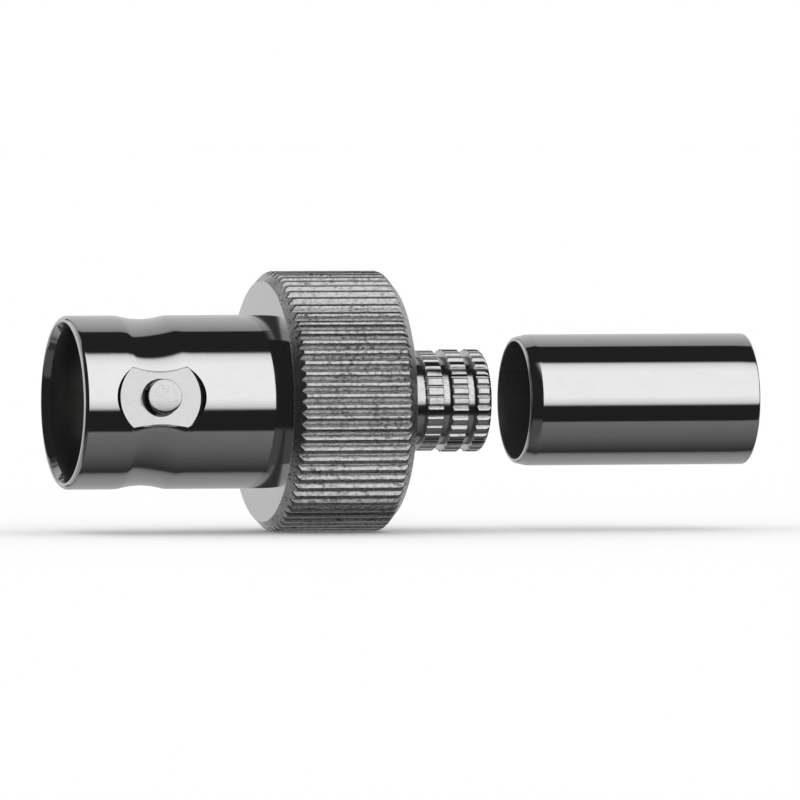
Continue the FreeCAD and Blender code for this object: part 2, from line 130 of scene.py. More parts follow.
# noise that dulls, darkens and roughens a plated surface
def buildWearGroup():
    w = wearNoise
    tree = bpy.data.node_groups.new("platingWear", "ShaderNodeTree")
    socket = tree.interface.new_socket
    socket("Coordinates", in_out="INPUT", socket_type="NodeSocketVector")
    for name in ("Grain", "Wear", "Roughness", "Roughness Spread"):
        socket(name, in_out="INPUT", socket_type="NodeSocketFloat")
    for name in ("Clean Color", "Worn Color"):
        socket(name, in_out="INPUT", socket_type="NodeSocketColor")
    socket("Color", in_out="OUTPUT", socket_type="NodeSocketColor")
    for name in ("Roughness", "Height"):
        socket(name, in_out="OUTPUT", socket_type="NodeSocketFloat")
    add, link = tree.nodes.new, tree.links.new
    given, result = add("NodeGroupInput").outputs, add("NodeGroupOutput").inputs

    def noise(detail, stretch):
        mapping = add("ShaderNodeMapping")
        mapping.inputs["Scale"].default_value = stretch
        link(given["Coordinates"], mapping.inputs["Vector"])
        node = add("ShaderNodeTexNoise")
        node.inputs["Detail"].default_value = detail
        node.inputs["Roughness"].default_value = w["noiseRoughness"]
        link(mapping.outputs[0], node.inputs["Vector"])
        return node

    grain = noise(w["grainDetail"], w["grainStretch"])
    link(given["Grain"], grain.inputs["Scale"])
    patches = noise(w["patchDetail"], w["patchStretch"])
    patches.inputs["Scale"].default_value = w["patchScale"]
    speckle = riseNode(tree, grain.outputs["Fac"], *w["speckle"])
    blotch = riseNode(tree, patches.outputs["Fac"], *w["blotch"])
    worn = mathNode(tree, "MULTIPLY", speckle, mathNode(tree, "ADD", blotch, w["between"]))
    mask = mathNode(tree, "MULTIPLY", worn, given["Wear"])
    link(mixNode(tree, mask, given["Clean Color"], given["Worn Color"]), result["Color"])
    dulled = mathNode(tree, "MULTIPLY", blotch, speckle)
    added = mathNode(tree, "MULTIPLY", given["Roughness Spread"], dulled)
    link(mathNode(tree, "ADD", given["Roughness"], added), result["Roughness"])
    link(grain.outputs["Fac"], result["Height"])
    return tree


wearGroup = buildWearGroup()


def makePlating(name):
    finish = plating[name]
    material, tree, shader = newMaterial(name)
    wear = tree.nodes.new("ShaderNodeGroup")
    wear.node_tree = wearGroup
    coordinates = tree.nodes.new("ShaderNodeTexCoord")
    tree.links.new(coordinates.outputs["Object"], wear.inputs["Coordinates"])
    clean = [finish["tone"] * part for part in nickelColor]
    wear.inputs["Grain"].default_value = finish["grain"]
    wear.inputs["Wear"].default_value = finish["wear"]
    wear.inputs["Roughness"].default_value = finish["roughness"]
    wear.inputs["Roughness Spread"].default_value = finish["spread"]
    wear.inputs["Clean Color"].default_value = (*clean, 1)
    wear.inputs["Worn Color"].default_value = (*[wearNoise["wornTone"] * c for c in clean], 1)
    bump = tree.nodes.new("ShaderNodeBump")
    bump.inputs["Distance"].default_value = finish["height"] * mm
    tree.links.new(wear.outputs["Height"], bump.inputs["Height"])
    tree.links.new(wear.outputs["Color"], shader.inputs["Base Color"])
    tree.links.new(wear.outputs["Roughness"], shader.inputs["Roughness"])
    tree.links.new(bump.outputs["Normal"], shader.inputs["Normal"])
    shader.inputs["Metallic"].default_value = finish["metallic"]
    return material


metal = {name: makePlating(name) for name in plating}

teflon = {"color": (0.86, 0.86, 0.84, 1), "roughness": 0.45, "metallic": 0}
gold = {"color": (0.90, 0.66, 0.28, 1), "roughness": 0.12, "metallic": 1}


def makePlain(name, finish):
    material, tree, shader = newMaterial(name)
    shader.inputs["Base Color"].default_value = finish["color"]
    shader.inputs["Roughness"].default_value = finish["roughness"]
    shader.inputs["Metallic"].default_value = finish["metallic"]
    return material


teflonWhite = makePlain("teflonWhite", teflon)
goldPlate = makePlain("goldPlate", gold)
print("materials made")


def newPiece(name, points, faces):
    mesh = bpy.data.meshes.new(name)
    mesh.from_pydata(points, [], faces)
    mesh.update()
    piece = bpy.data.objects.new(name, mesh)
    bpy.context.scene.collection.objects.link(piece)
    return piece


# corners hold (x, r) or (x, r, edge radius, steps)
def roundCorners(corners):
    path = []
    for number, corner in enumerate(corners):
        here = Vector(corner[:2])
        if len(corner) == 2:
            path.append(here)
            continue
        radius, steps = corner[2:]
        before = (Vector(corners[number - 1][:2]) - here).normalized()
        after = (Vector(corners[(number + 1) % len(corners)][:2]) - here).normalized()
        half = before.angle(after) / 2
        reach = radius / math.tan(half)
        centre = here + (before + after).normalized() * radius / math.sin(half)
        first, last = here + before * reach - centre, here + after * reach - centre
        bend = first.angle(last)
        for step in range(steps + 1):
            share = step / steps
            spoke = first * math.sin((1 - share) * bend) + last * math.sin(share * bend)
            path.append(centre + spoke / math.sin(bend))
    return path


# spans give (low x, high x, longest step), and long straight runs there get points between
def subdivide(path, spans):
    finer = []
    for number, here in enumerate(path):
        there = path[(number + 1) % len(path)]
        finer.append(here)
        for low, high, longest in spans:
            if low <= min(here.x, there.x) and max(here.x, there.x) <= high:
                count = math.ceil((there - here).length / longest)
                finer += [here.lerp(there, step / count) for step in range(1, count)]
                break
    return finer


turning = {
    "runLimit": 1.002,  # grooves are cut out to this share of the crest radius
    "weld": 1e-7,
    "crisp": 38,  # degrees between two faces, from which their edge stays sharp
    "endFacing": -0.95,  # normals along X below this belong to the front ends
    "boreFacing": -0.0001,
}


# turns a profile about X, and cuts straight V-grooves along it
def buildTurningTree():
    tree = bpy.data.node_groups.new("knurledTurning", "GeometryNodeTree")
    socket = tree.interface.new_socket
    socket("Profile", in_out="INPUT", socket_type="NodeSocketGeometry")
    for name in ("Segments", "Teeth"):
        socket(name, in_out="INPUT", socket_type="NodeSocketInt")
    for name in ("Crest Radius", "Tooth Depth", "Tooth Land", "First Groove", "Crest Rounding"):
        socket(name, in_out="INPUT", socket_type="NodeSocketFloat")
    for name in ("Finish", "End Finish", "Bore Painted Shade"):
        socket(name, in_out="INPUT", socket_type="NodeSocketMaterial")
    socket("Turned Piece", in_out="OUTPUT", socket_type="NodeSocketGeometry")
    add, link = tree.nodes.new, tree.links.new
    given = add("NodeGroupInput").outputs

    def calc(operation, *values):
        return mathNode(tree, operation, *values)

    def splitVector(vector):
        node = add("ShaderNodeSeparateXYZ")
        link(vector, node.inputs[0])
        return node.outputs

    # a grid with one column for each turn step and one row for each profile point
    size = add("GeometryNodeAttributeDomainSize")
    link(given["Profile"], size.inputs[0])
    count = size.outputs["Point Count"]
    grid = add("GeometryNodeMeshGrid")
    link(calc("ADD", given["Segments"], 1), grid.inputs["Vertices X"])
    link(count, grid.inputs["Vertices Y"])
    index = add("GeometryNodeInputIndex").outputs[0]
    around = calc("FLOOR", calc("DIVIDE", calc("ADD", index, 0.5), count))
    along = calc("SUBTRACT", index, calc("MULTIPLY", around, count))
    sample = add("GeometryNodeSampleIndex")
    sample.data_type = "FLOAT_VECTOR"
    link(given["Profile"], sample.inputs["Geometry"])
    link(add("GeometryNodeInputPosition").outputs[0], sample.inputs["Value"])
    link(along, sample.inputs["Index"])
    profile = splitVector(sample.outputs[0])

    # the radius that the grooves leave at each turn step
    fullTurn = 2 * math.pi
    crest = given["Crest Radius"]
    turned = calc("DIVIDE", calc("MULTIPLY", around, fullTurn), given["Segments"])
    pitch = calc("DIVIDE", fullTurn, calc("MAXIMUM", given["Teeth"], 1))
    within = calc("FRACT", calc("DIVIDE", turned, pitch))
    nearest = calc("MINIMUM", within, calc("SUBTRACT", 1, within))
    fromGroove = calc("MULTIPLY", calc("MULTIPLY", nearest, pitch), crest)
    opening = calc("SUBTRACT", calc("MULTIPLY", pitch, crest), given["Tooth Land"])
    halfWidth = calc("MULTIPLY", opening, 0.5)
    rise = calc("MULTIPLY", calc("DIVIDE", fromGroove, halfWidth), given["Tooth Depth"])
    flank = calc("ADD", calc("SUBTRACT", crest, given["Tooth Depth"]), rise)
    cut = calc("SMOOTH_MIN", profile["Y"], flank, given["Crest Rounding"])
    outerRun = calc("LESS_THAN", profile["Y"], calc("MULTIPLY", crest, turning["runLimit"]))
    toothed = calc("MULTIPLY", calc("GREATER_THAN", given["Teeth"], 0), outerRun)
    plain = calc("MULTIPLY", profile["Y"], calc("SUBTRACT", 1, toothed))
    radius = calc("ADD", calc("MULTIPLY", cut, toothed), plain)

    # the grid's points go to their places, and the seam is closed
    turn = calc("ADD", turned, given["First Groove"])
    spot = add("ShaderNodeCombineXYZ")
    link(profile["X"], spot.inputs["X"])
    forward = calc("MULTIPLY", radius, calc("COSINE", turn))
    link(calc("MULTIPLY", forward, -1), spot.inputs["Y"])
    link(calc("MULTIPLY", radius, calc("SINE", turn)), spot.inputs["Z"])
    place = add("GeometryNodeSetPosition")
    link(grid.outputs["Mesh"], place.inputs["Geometry"])
    link(spot.outputs[0], place.inputs["Position"])
    weld = add("GeometryNodeMergeByDistance")
    weld.inputs["Distance"].default_value = turning["weld"]
    link(place.outputs[0], weld.inputs["Geometry"])
    flip = add("GeometryNodeFlipFaces")
    link(weld.outputs[0], flip.inputs["Mesh"])

    # smooth faces with crisp corners
    edgeAngle = add("GeometryNodeInputMeshEdgeAngle").outputs["Unsigned Angle"]
    smooth = add("GeometryNodeSetShadeSmooth")
    link(flip.outputs[0], smooth.inputs["Geometry"])
    edges = add("GeometryNodeSetShadeSmooth")
    edges.domain = "EDGE"
    link(smooth.outputs[0], edges.inputs["Geometry"])
    crisp = calc("GREATER_THAN", edgeAngle, math.radians(turning["crisp"]))
    link(crisp, edges.inputs["Selection"])
    edges.inputs["Shade Smooth"].default_value = False
    real = add("GeometryNodeRealizeInstances")
    link(edges.outputs[0], real.inputs[0])

    # one finish for all, then the front ends, and whatever faces the axis gets the darkened bore
    # finish that paints the shade inside
    finish = add("GeometryNodeSetMaterial")
    link(real.outputs[0], finish.inputs["Geometry"])
    link(given["Finish"], finish.inputs["Material"])
    facing = splitVector(add("GeometryNodeInputNormal").outputs[0])
    where = splitVector(add("GeometryNodeInputPosition").outputs[0])
    outward = calc("ADD", calc("MULTIPLY", facing["Y"], where["Y"]),
                   calc("MULTIPLY", facing["Z"], where["Z"]))
    made = finish.outputs[0]
    for name, chosen in (("End Finish", calc("LESS_THAN", facing["X"], turning["endFacing"])),
                         ("Bore Painted Shade", calc("LESS_THAN", outward, turning["boreFacing"]))):
        node = add("GeometryNodeSetMaterial")
        link(made, node.inputs["Geometry"])
        link(chosen, node.inputs["Selection"])
        link(given[name], node.inputs["Material"])
        made = node.outputs[0]
    link(made, add("NodeGroupOutput").inputs[0])
    return tree


turningTree = buildTurningTree()


# settings are given by the tree's input names
def turnPiece(name, path, settings):
    ring = [(p.x * mm, p.y * mm, 0) for p in path + path[:1]]
    blank = newPiece(name + "Blank", ring, [])
    modifier = blank.modifiers.new("turning", "NODES")
    modifier.node_group = turningTree
    for item in turningTree.interface.items_tree:
        if item.in_out == "INPUT" and item.name in settings:
            modifier[item.identifier] = settings[item.name]
    bpy.context.view_layer.update()
    turned = blank.evaluated_get(bpy.context.evaluated_depsgraph_get())
    mesh = bpy.data.meshes.new_from_object(turned)
    mesh.name = name
    piece = bpy.data.objects.new(name, mesh)
    bpy.context.scene.collection.objects.link(piece)
    bpy.data.objects.remove(blank)
    return piece


grip = {
    "front": 11.46, "length": 7.16, "radius": 7.25, "core": 4.6, "seat": 3.9, "seatFront": 13.8,
    "faceRadius": 6.7, "frontBevel": 0.55, "rearBevel": 0.6, "rearRadius": 6.55,
    "faceEdge": (0.05, 3), "frontEdge": (0.25, 4), "backEdge": (0.3, 4), "rearEdge": (0.06, 3),
    "bevelStep": 0.08, "bevelMargin": 0.001,
    "teeth": 72, "depth": 0.24, "land": 0.19, "firstGroove": 1.26, "samples": 12, "rounding": 0.03,
}


def makeGripRing():
    g = grip
    front, back = g["front"], g["front"] + g["length"]
    bevelEnd, bevelStart = front + g["frontBevel"], back - g["rearBevel"]
    corners = [
        (front, g["core"]), (front, g["faceRadius"], *g["faceEdge"]),
        (bevelEnd, g["radius"], *g["frontEdge"]), (bevelStart, g["radius"], *g["backEdge"]),
        (back, g["rearRadius"], *g["rearEdge"]),
        (back, g["seat"]), (g["seatFront"], g["seat"]), (g["seatFront"], g["core"]),
    ]
    bevels = [(front + g["bevelMargin"], bevelEnd, g["bevelStep"]),
              (bevelStart, back - g["bevelMargin"], g["bevelStep"])]
    return turnPiece("gripRing", subdivide(roundCorners(corners), bevels), {
        "Segments": g["teeth"] * g["samples"], "Teeth": g["teeth"],
        "Crest Radius": g["radius"] * mm, "Tooth Depth": g["depth"] * mm,
        "Tooth Land": g["land"] * mm, "First Groove": math.radians(g["firstGroove"]),
        "Crest Rounding": g["rounding"] * mm,
        "Finish": metal["nickelWorn"], "End Finish": metal["nickelBright"],
        "Bore Painted Shade": metal["nickelBorePaintedShade"],
    })


gripRing = makeGripRing()
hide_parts("shell")
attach(gripRing, "connector")
print("grip ring made")


barrel = {
    "radius": 4.825, "length": 11.46, "end": 13.75, "mouthRound": 0.28, "mouthSteps": 10,
    "inside": [(0, 4.50), (0.03, 4.46), (0.09, 4.44), (0.43, 4.28), (0.9, 4.12), (1.6, 4.06),
               (8.4, 4.06), (8.4, 2.42), (9.3, 2.42), (9.3, 3.5), (13.75, 3.5), (13.75, 4.825)],
    "brightInside": 3,  # how many runs inside the mouth are as bright as the outside; the deeper ones carry painted shade
    "scallopDepth": 0.20, "scallopHalf": 1.4, "scallopSpread": 1.54,
    "reliefDepth": 0.03, "reliefHalf": 1.65,
    "lugStation": 4.4, "lugTurn": 4.9, "lugRadius": 0.975, "lugTop": 5.5, "lugEdge": 0.05,
    "lugRings": (0, 0.3, 0.6, 0.8), "rootFillet": 0.12,
    "rootShade": (-0.3, 0.45),  # the root's fillet carries painted shade this far to the left and this far up
    "flatHeight": 4.53, "flatRadius": 2.30, "wallSpread": 0.26,
    "rimGroove": 0.03, "rimStep": 0.03, "rimShape": (1, 0.9, 0),  # beside the flat's open rim
    "edgeSteps": 4, "sideSteps": 4, "filletSteps": 8, "floorSteps": 4, "patchSteps": 14,
    "patch": 2.75, "rays": 192, "frontSteps": 12, "backSteps": 24, "sideAngles": 84,
    "settleRounds": 5, "halvings": 40,  # how long the two searches below go on
    "weld": 2e-7, "sliver": 1e-8, "nearCrease": 5e-7, "crisp": 35,
}
barrelFinishes = ("nickelBright", "nickelMilled", "nickelLug", "nickelRootPaintedShade", "nickelBorePaintedShade")
brightFace, milledFace, lugFace, paintedRootShadeFace, paintedBoreShadeFace = range(len(barrelFinishes))


# outside of the barrel at x, at an angle from the nearest lug
def surfaceRadius(x, angle):
    b = barrel
    off = abs(x - b["lugStation"])
    away = math.remainder(angle, math.pi)
    rise = math.sin(min(b["scallopSpread"] * abs(away), math.pi / 2))
    deep = b["scallopDepth"] * (rise if away > 0 else rise ** 2)
    scallop = deep * max(0, 1 - (off / b["scallopHalf"]) ** 2)
    relief = b["reliefDepth"] * max(0, 1 - (off / b["reliefHalf"]) ** 4)
    return b["radius"] - math.hypot(scallop, relief)


def onCircle(x, radius, angle):
    return Vector((x, -radius * math.cos(angle), radius * math.sin(angle)))


def onBarrel(x, angle):
    return onCircle(x, surfaceRadius(x, angle), angle)


# how far out from the axis the surface lies beside the lug, across along X and up along Z
def heightOver(across, up):
    radius = barrel["radius"]
    for _ in range(barrel["settleRounds"]):
        angle = math.asin(min(1, max(-1, up / radius)))
        radius = surfaceRadius(barrel["lugStation"] + across, angle)
    return math.sqrt(radius ** 2 - up ** 2)


def findCrossing(test, low, high):
    for _ in range(barrel["halvings"]):
        middle = (low + high) / 2
        if test(middle) > 0:
            low = middle
        else:
            high = middle
    return low


# where the lug's flat ends along a ray, where its wall meets the barrel, and if it has no wall
def flatEnds(surfaceOver):
    b = barrel
    flat, inner = b["flatHeight"], b["flatRadius"]
    if surfaceOver(inner) < flat:
        rim = findCrossing(lambda d: surfaceOver(d) - flat, b["lugRadius"] + b["rootFillet"], inner)
        return rim, rim, True
    slope = (b["radius"] - flat) / b["wallSpread"]
    wallTop = findCrossing(lambda d: surfaceOver(d) - flat - slope * (d - inner),
                           inner, inner + 2 * b["wallSpread"])
    return inner, wallTop, False


# points from the lug's centre out to the patch's edge, the crisp ones, and each run's finish
def lugRay(corner):
    b = barrel
    turn = math.atan2(corner.y, corner.x)
    out = Vector((math.cos(turn), math.sin(turn)))
    points, finishes = [], []

    def addSpot(distance, height, finish):
        points.append(Vector((b["lugStation"] + distance * out.x, -height, distance * out.y)))
        finishes.append(finish)

    def topHeight(distance):
        return math.sqrt(b["lugTop"] ** 2 - (distance * out.y) ** 2)

    def surfaceOver(distance):
        return heightOver(distance * out.x, distance * out.y)

    radius, edge, fillet, flat = b["lugRadius"], b["lugEdge"], b["rootFillet"], b["flatHeight"]
    for distance in b["lugRings"]:
        addSpot(distance, topHeight(distance), lugFace)
    for step in range(b["edgeSteps"] + 1):
        bend = math.radians(90 - 90 / b["edgeSteps"] * step)
        distance = radius - edge + edge * math.cos(bend)
        addSpot(distance, topHeight(distance) - edge + edge * math.sin(bend),
                lugFace if step < b["edgeSteps"] else paintedRootShadeFace)
    low, high = flat + fillet, topHeight(radius) - edge
    # the lug's side wall carries painted shade all round
    for step in range(1, b["sideSteps"]):
        addSpot(radius, high + (low - high) * step / b["sideSteps"], paintedRootShadeFace)
    left, up = b["rootShade"]
    # the fillet carries painted shade on the left and low side, and the milled finish elsewhere
    filletShadeFinish = paintedRootShadeFace if out.x < left and out.y < up else milledFace
    for step in range(b["filletSteps"] + 1):
        bend = math.radians(90 / b["filletSteps"] * step)
        addSpot(radius + fillet - fillet * math.cos(bend), low - fillet * math.sin(bend),
                filletShadeFinish if step < b["filletSteps"] else milledFace)
    inner, outer, openRim = flatEnds(surfaceOver)
    start = radius + fillet
    for step in range(1, b["floorSteps"] + 1):
        addSpot(start + (inner - start) * step / b["floorSteps"], flat, milledFace)
    crisp = [points[-1]]
    if openRim:
        deep = b["rimGroove"] if abs(outer * out.x) < b["reliefHalf"] else 0
        # on the upper side the first rim step is a thin line of painted shade
        for step, share in enumerate(b["rimShape"], 1):
            distance = outer + b["rimStep"] * step
            addSpot(distance, surfaceOver(distance) - deep * share,
                    paintedRootShadeFace if step == 1 and out.y > 0 else brightFace)
        outer += b["rimStep"] * len(b["rimShape"])
    else:
        rise, wallSteps = surfaceOver(outer) - flat, len(b["rimShape"])
        for step in range(1, wallSteps + 1):
            addSpot(inner + (outer - inner) * step / wallSteps, flat + rise * step / wallSteps,
                    brightFace)
    crisp.append(points[-1])
    unrolledUp = b["radius"] * math.atan2(outer * out.y, surfaceOver(outer))
    rim = Vector((outer * out.x, unrolledUp))
    for step in range(1, b["patchSteps"] + 1):
        unrolled = rim.lerp(corner, step / b["patchSteps"])
        points.append(onBarrel(b["lugStation"] + unrolled.x, unrolled.y / b["radius"]))
        finishes.append(brightFace)
    return points, crisp, finishes[1:]


# shape is a barrel in the making: points, faces, each face's finish, and spots on crisp edges
def addStrip(shape, first, second, finishes):
    start, count = len(shape["points"]), len(first)
    shape["points"] += first + second
    for number in range(count - 1):
        here, beside = start + number, start + count + number
        shape["faces"].append((here, here + 1, beside + 1, beside))
        shape["finishes"].append(finishes[number])


# the two lugs with their flats, each in a square patch of the barrel's outside
def addLugPatches(shape, tangents):
    half = barrel["patch"]
    run = tangents[:-1]
    edgeLoop = [Vector((half, t)) for t in run] + [Vector((-t, half)) for t in run]
    edgeLoop += [Vector((-half, -t)) for t in run] + [Vector((t, -half)) for t in run]
    rays = [lugRay(corner) for corner in edgeLoop]
    for number, (points, crisp, finishes) in enumerate(rays):
        addStrip(shape, points, rays[(number + 1) % len(rays)][0], finishes)
        shape["creases"] += crisp
    start = len(shape["points"])
    shape["faces"] += [tuple(start + corner for corner in face) for face in shape["faces"]]
    shape["finishes"] += shape["finishes"]
    for name in ("points", "creases"):
        shape[name] += [Vector((p.x, -p.y, -p.z)) for p in shape[name]]


# the rest of the outside, from the mouth's edge to inside the grip ring
def addOutside(shape, tangents, angles, patchAngle):
    b = barrel
    station, half, bend = b["lugStation"], b["patch"], b["mouthRound"]
    low, high = station - half, station + half
    front = [bend + (low - bend) * step / b["frontSteps"] for step in range(b["frontSteps"])]
    middle = [station + t for t in tangents]
    back = [high + (b["length"] - high) * step / b["backSteps"]
            for step in range(1, b["backSteps"] + 1)]
    whole = front + middle + back + [b["end"]]
    besidePatch = [front + middle[:1], middle[-1:] + back + [b["end"]]]
    for first, second in zip(angles, angles[1:]):
        inPatch = abs(math.remainder((first + second) / 2, math.pi)) < patchAngle
        for row in besidePatch if inPatch else [whole]:
            addStrip(shape, [onBarrel(x, first) for x in row], [onBarrel(x, second) for x in row],
                     [brightFace] * len(row))


# the rounded mouth and everything inside
def addInside(shape, angles):
    b = barrel
    bend, steps = b["mouthRound"], b["mouthSteps"]
    lip = b["radius"] - bend
    profile = []
    for step in range(steps + 1):
        turn = math.radians(90 * step / steps)
        profile.append((bend - bend * math.sin(turn), lip + bend * math.cos(turn)))
    bright = len(profile) + b["brightInside"]
    profile += b["inside"]
    for number, (here, there) in enumerate(zip(profile, profile[1:])):
        # runs past the bright ones get the darkened bore finish, painted shade inside the mouth
        finish = brightFace if number < bright else paintedBoreShadeFace
        addStrip(shape, [onCircle(*here, a) for a in angles], [onCircle(*there, a) for a in angles],
                 [finish] * len(angles))


# welds the strips, points the faces out, and keeps the crisp edges crisp
def joinBarrel(piece, creases):
    b = barrel
    build = bmesh.new()
    build.from_mesh(piece.data)
    bmesh.ops.remove_doubles(build, verts=build.verts, dist=b["weld"])
    bmesh.ops.dissolve_degenerate(build, edges=build.edges, dist=b["sliver"])
    bmesh.ops.recalc_face_normals(build, faces=build.faces)
    print("barrel open edges", len([e for e in build.edges if len(e.link_faces) != 2]))
    tree = KDTree(len(creases))
    for number, place in enumerate(creases):
        tree.insert(place, number)
    tree.balance()
    onCrease = {v for v in build.verts if tree.find(v.co)[2] < b["nearCrease"]}
    for face in build.faces:
        face.smooth = True
    for edge in build.edges:
        sharp = len(edge.link_faces) == 2 and edge.calc_face_angle(0) > math.radians(b["crisp"])
        edge.smooth = not (sharp or (edge.verts[0] in onCrease and edge.verts[1] in onCrease))
    build.to_mesh(piece.data)
    build.free()


def makeBarrel():
    b = barrel
    quarter = b["rays"] // 4
    tangents = [b["patch"] * math.tan(math.radians(-45 + 90 * step / quarter))
                for step in range(quarter + 1)]
    patchAngles = [t / b["radius"] for t in tangents]
    patchAngle, steps = patchAngles[-1], b["sideAngles"]
    halfTurn = patchAngles + [patchAngle + (math.pi - 2 * patchAngle) * step / steps
                              for step in range(1, steps)]
    angles = halfTurn + [angle + math.pi for angle in halfTurn] + [patchAngles[0] + 2 * math.pi]
    shape = {"points": [], "faces": [], "finishes": [], "creases": []}
    addLugPatches(shape, tangents)
    addOutside(shape, tangents, angles, patchAngle)
    addInside(shape, angles)
    turnBy = Matrix.Rotation(math.radians(-b["lugTurn"]), 3, "X")
    piece = newPiece("barrel", [tuple(turnBy @ p * mm) for p in shape["points"]], shape["faces"])
    for name in barrelFinishes:
        piece.data.materials.append(metal[name])
    piece.data.polygons.foreach_set("material_index", shape["finishes"])
    joinBarrel(piece, [turnBy @ p * mm for p in shape["creases"]])
    return piece


barrelPiece = makeBarrel()
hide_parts("shell")
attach(barrelPiece, "connector")
print("barrel made")


stem = {
    "front": 13.8, "chamber": 2.3, "chamberBack": 17.8, "bore": 1.9, "entry": 0.25,
    "shank": 3.9, "shankBack": 18.62, "neck": 2.45,
    "bands": [(20.32, 21.24, 2.80, 0.07), (21.75, 22.66, 2.86, 0.07), (23.17, 24.02, 2.86, 0.30)],
    "frontEdge": 0.07, "edgeSteps": (4, 5), "entryEdge": (0.03, 2),
    "teeth": 30, "crest": 2.86, "depth": 0.15, "land": 0.30, "firstGroove": 6.0, "samples": 14,
    "rounding": 0.05,
}


def makeStem():
    s = stem
    corners = [(s["front"], s["chamber"]), (s["front"], s["shank"]),
               (s["shankBack"], s["shank"]), (s["shankBack"], s["neck"])]
    frontSteps, backSteps = s["edgeSteps"]
    for front, back, radius, backEdge in s["bands"]:  # from, to, radius, and its rear edge
        corners += [(front, s["neck"]), (front, radius, s["frontEdge"], frontSteps),
                    (back, radius, backEdge, backSteps), (back, s["neck"])]
    corners.pop()  # the last band runs on into the end face
    corners += [(back, s["bore"] + s["entry"], *s["entryEdge"]), (back - s["entry"], s["bore"]),
                (s["chamberBack"], s["bore"]), (s["chamberBack"], s["chamber"])]
    return turnPiece("bandedStem", roundCorners(corners), {
        "Segments": s["teeth"] * s["samples"], "Teeth": s["teeth"],
        "Crest Radius": s["crest"] * mm, "Tooth Depth": s["depth"] * mm,
        "Tooth Land": s["land"] * mm, "First Groove": math.radians(s["firstGroove"]),
        "Crest Rounding": s["rounding"] * mm,
        "Finish": metal["nickelStem"], "End Finish": metal["nickelStem"],
        "Bore Painted Shade": metal["nickelBorePaintedShade"],
    })


stemPiece = makeStem()
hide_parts("braid_support")
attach(stemPiece, "connector")
print("braid support made")


ferrule = {
    "front": 26.07, "length": 13.26, "radius": 3.65, "bore": 3.25,
    "taperLong": 0.70, "taperDeep": 0.16, "taperEdge": (0.5, 4),
    "mouthEdge": (0.17, 8), "endEdge": (0.12, 6), "innerEdge": (0.06, 4),
    "segments": 320, "wallStep": 1.0,
}


def makeFerrule():
    f = ferrule
    front, back = f["front"], f["front"] + f["length"]
    taperEnd = front + f["taperLong"]
    corners = [
        (front, f["bore"], *f["innerEdge"]), (front, f["radius"] - f["taperDeep"], *f["mouthEdge"]),
        (taperEnd, f["radius"], *f["taperEdge"]),
        (back, f["radius"], *f["endEdge"]), (back, f["bore"], *f["innerEdge"]),
    ]
    path = subdivide(roundCorners(corners), [(taperEnd, back, f["wallStep"])])
    return turnPiece("ferruleTube", path, {
        "Segments": f["segments"], "Teeth": 0, "Crest Radius": f["radius"] * mm, "Tooth Land": 0.0,
        "Finish": metal["nickelBright"], "End Finish": metal["nickelBright"],
        "Bore Painted Shade": metal["ferruleBorePaintedShade"],
    })


ferruleTube = makeFerrule()
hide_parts("crimp_ferrule")
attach(ferruleTube, "ferrule")
print("ferrule made")

innerFinishes = {
    "front_insulator": teflonWhite, "rear_insulator": teflonWhite, "socket_contact": goldPlate,
}
for node, material in innerFinishes.items():
    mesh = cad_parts[node].data
    mesh.materials.clear()
    mesh.materials.append(material)
print("inner pieces finished")


studio = {
    "bands": [  # angle about the connector's axis, 0 in front and 90 overhead, and its grey
        (-180, 0.59), (-160, 0.41), (-146, 0.35), (-125, 0.275), (-117, 0.245), (-109, 0.165),
        (-106, 0.05), (-104, 0.035), (-101, 0.036), (-89, 0.068), (-67, 0.125), (-46, 0.157),
        (-39, 0.170), (-37, 0.016), (-10, 0.016), (-6, 0.65), (-1, 0.84), (6, 1.0), (46, 1.04),
        (56, 0.95), (64, 0.82), (67.5, 0.62), (71, 0.016), (109, 0.016), (111, 0.26),
        (125, 0.37), (135, 0.43), (146, 0.49), (162, 0.60), (180, 0.59),
    ],
    "darkGrey": 0.016,
    "sideEdge": (-0.13, -0.03),  # where the lit side gives way to the dark left side
    "backEdge": (-0.04, 0.12),  # and to the lit back
    "lowEdge": (-0.62, -0.5),  # the floor still shows grey on the dark side
    "lowGrey": 0.075,
    "glowBack": (0.0, 0.06),  # and the back wall shows a little more, high and low
    "glowHigh": (0.3, 0.5),
    "glowLeft": (-0.3, -0.15),
    "glowGrey": 0.27,
    "farEnd": (0.80, 0.90),  # a dark gap at the right end, at table height
    "farHigh": (0.30, 0.42),
    "farGrey": 0.03,
    "slotLeft": (-0.36, -0.30),  # a darker strip in what barrel and ring show in each other
    "slotRight": (-0.25, -0.19),
    "slotHigh": (0.10, 0.25),
    "slotGrey": 0.035,
    "slotDepth": 1.5,  # only for rays that met two surfaces
    "openLight": 1.0,  # what lights the matt surfaces and stands behind the object
}


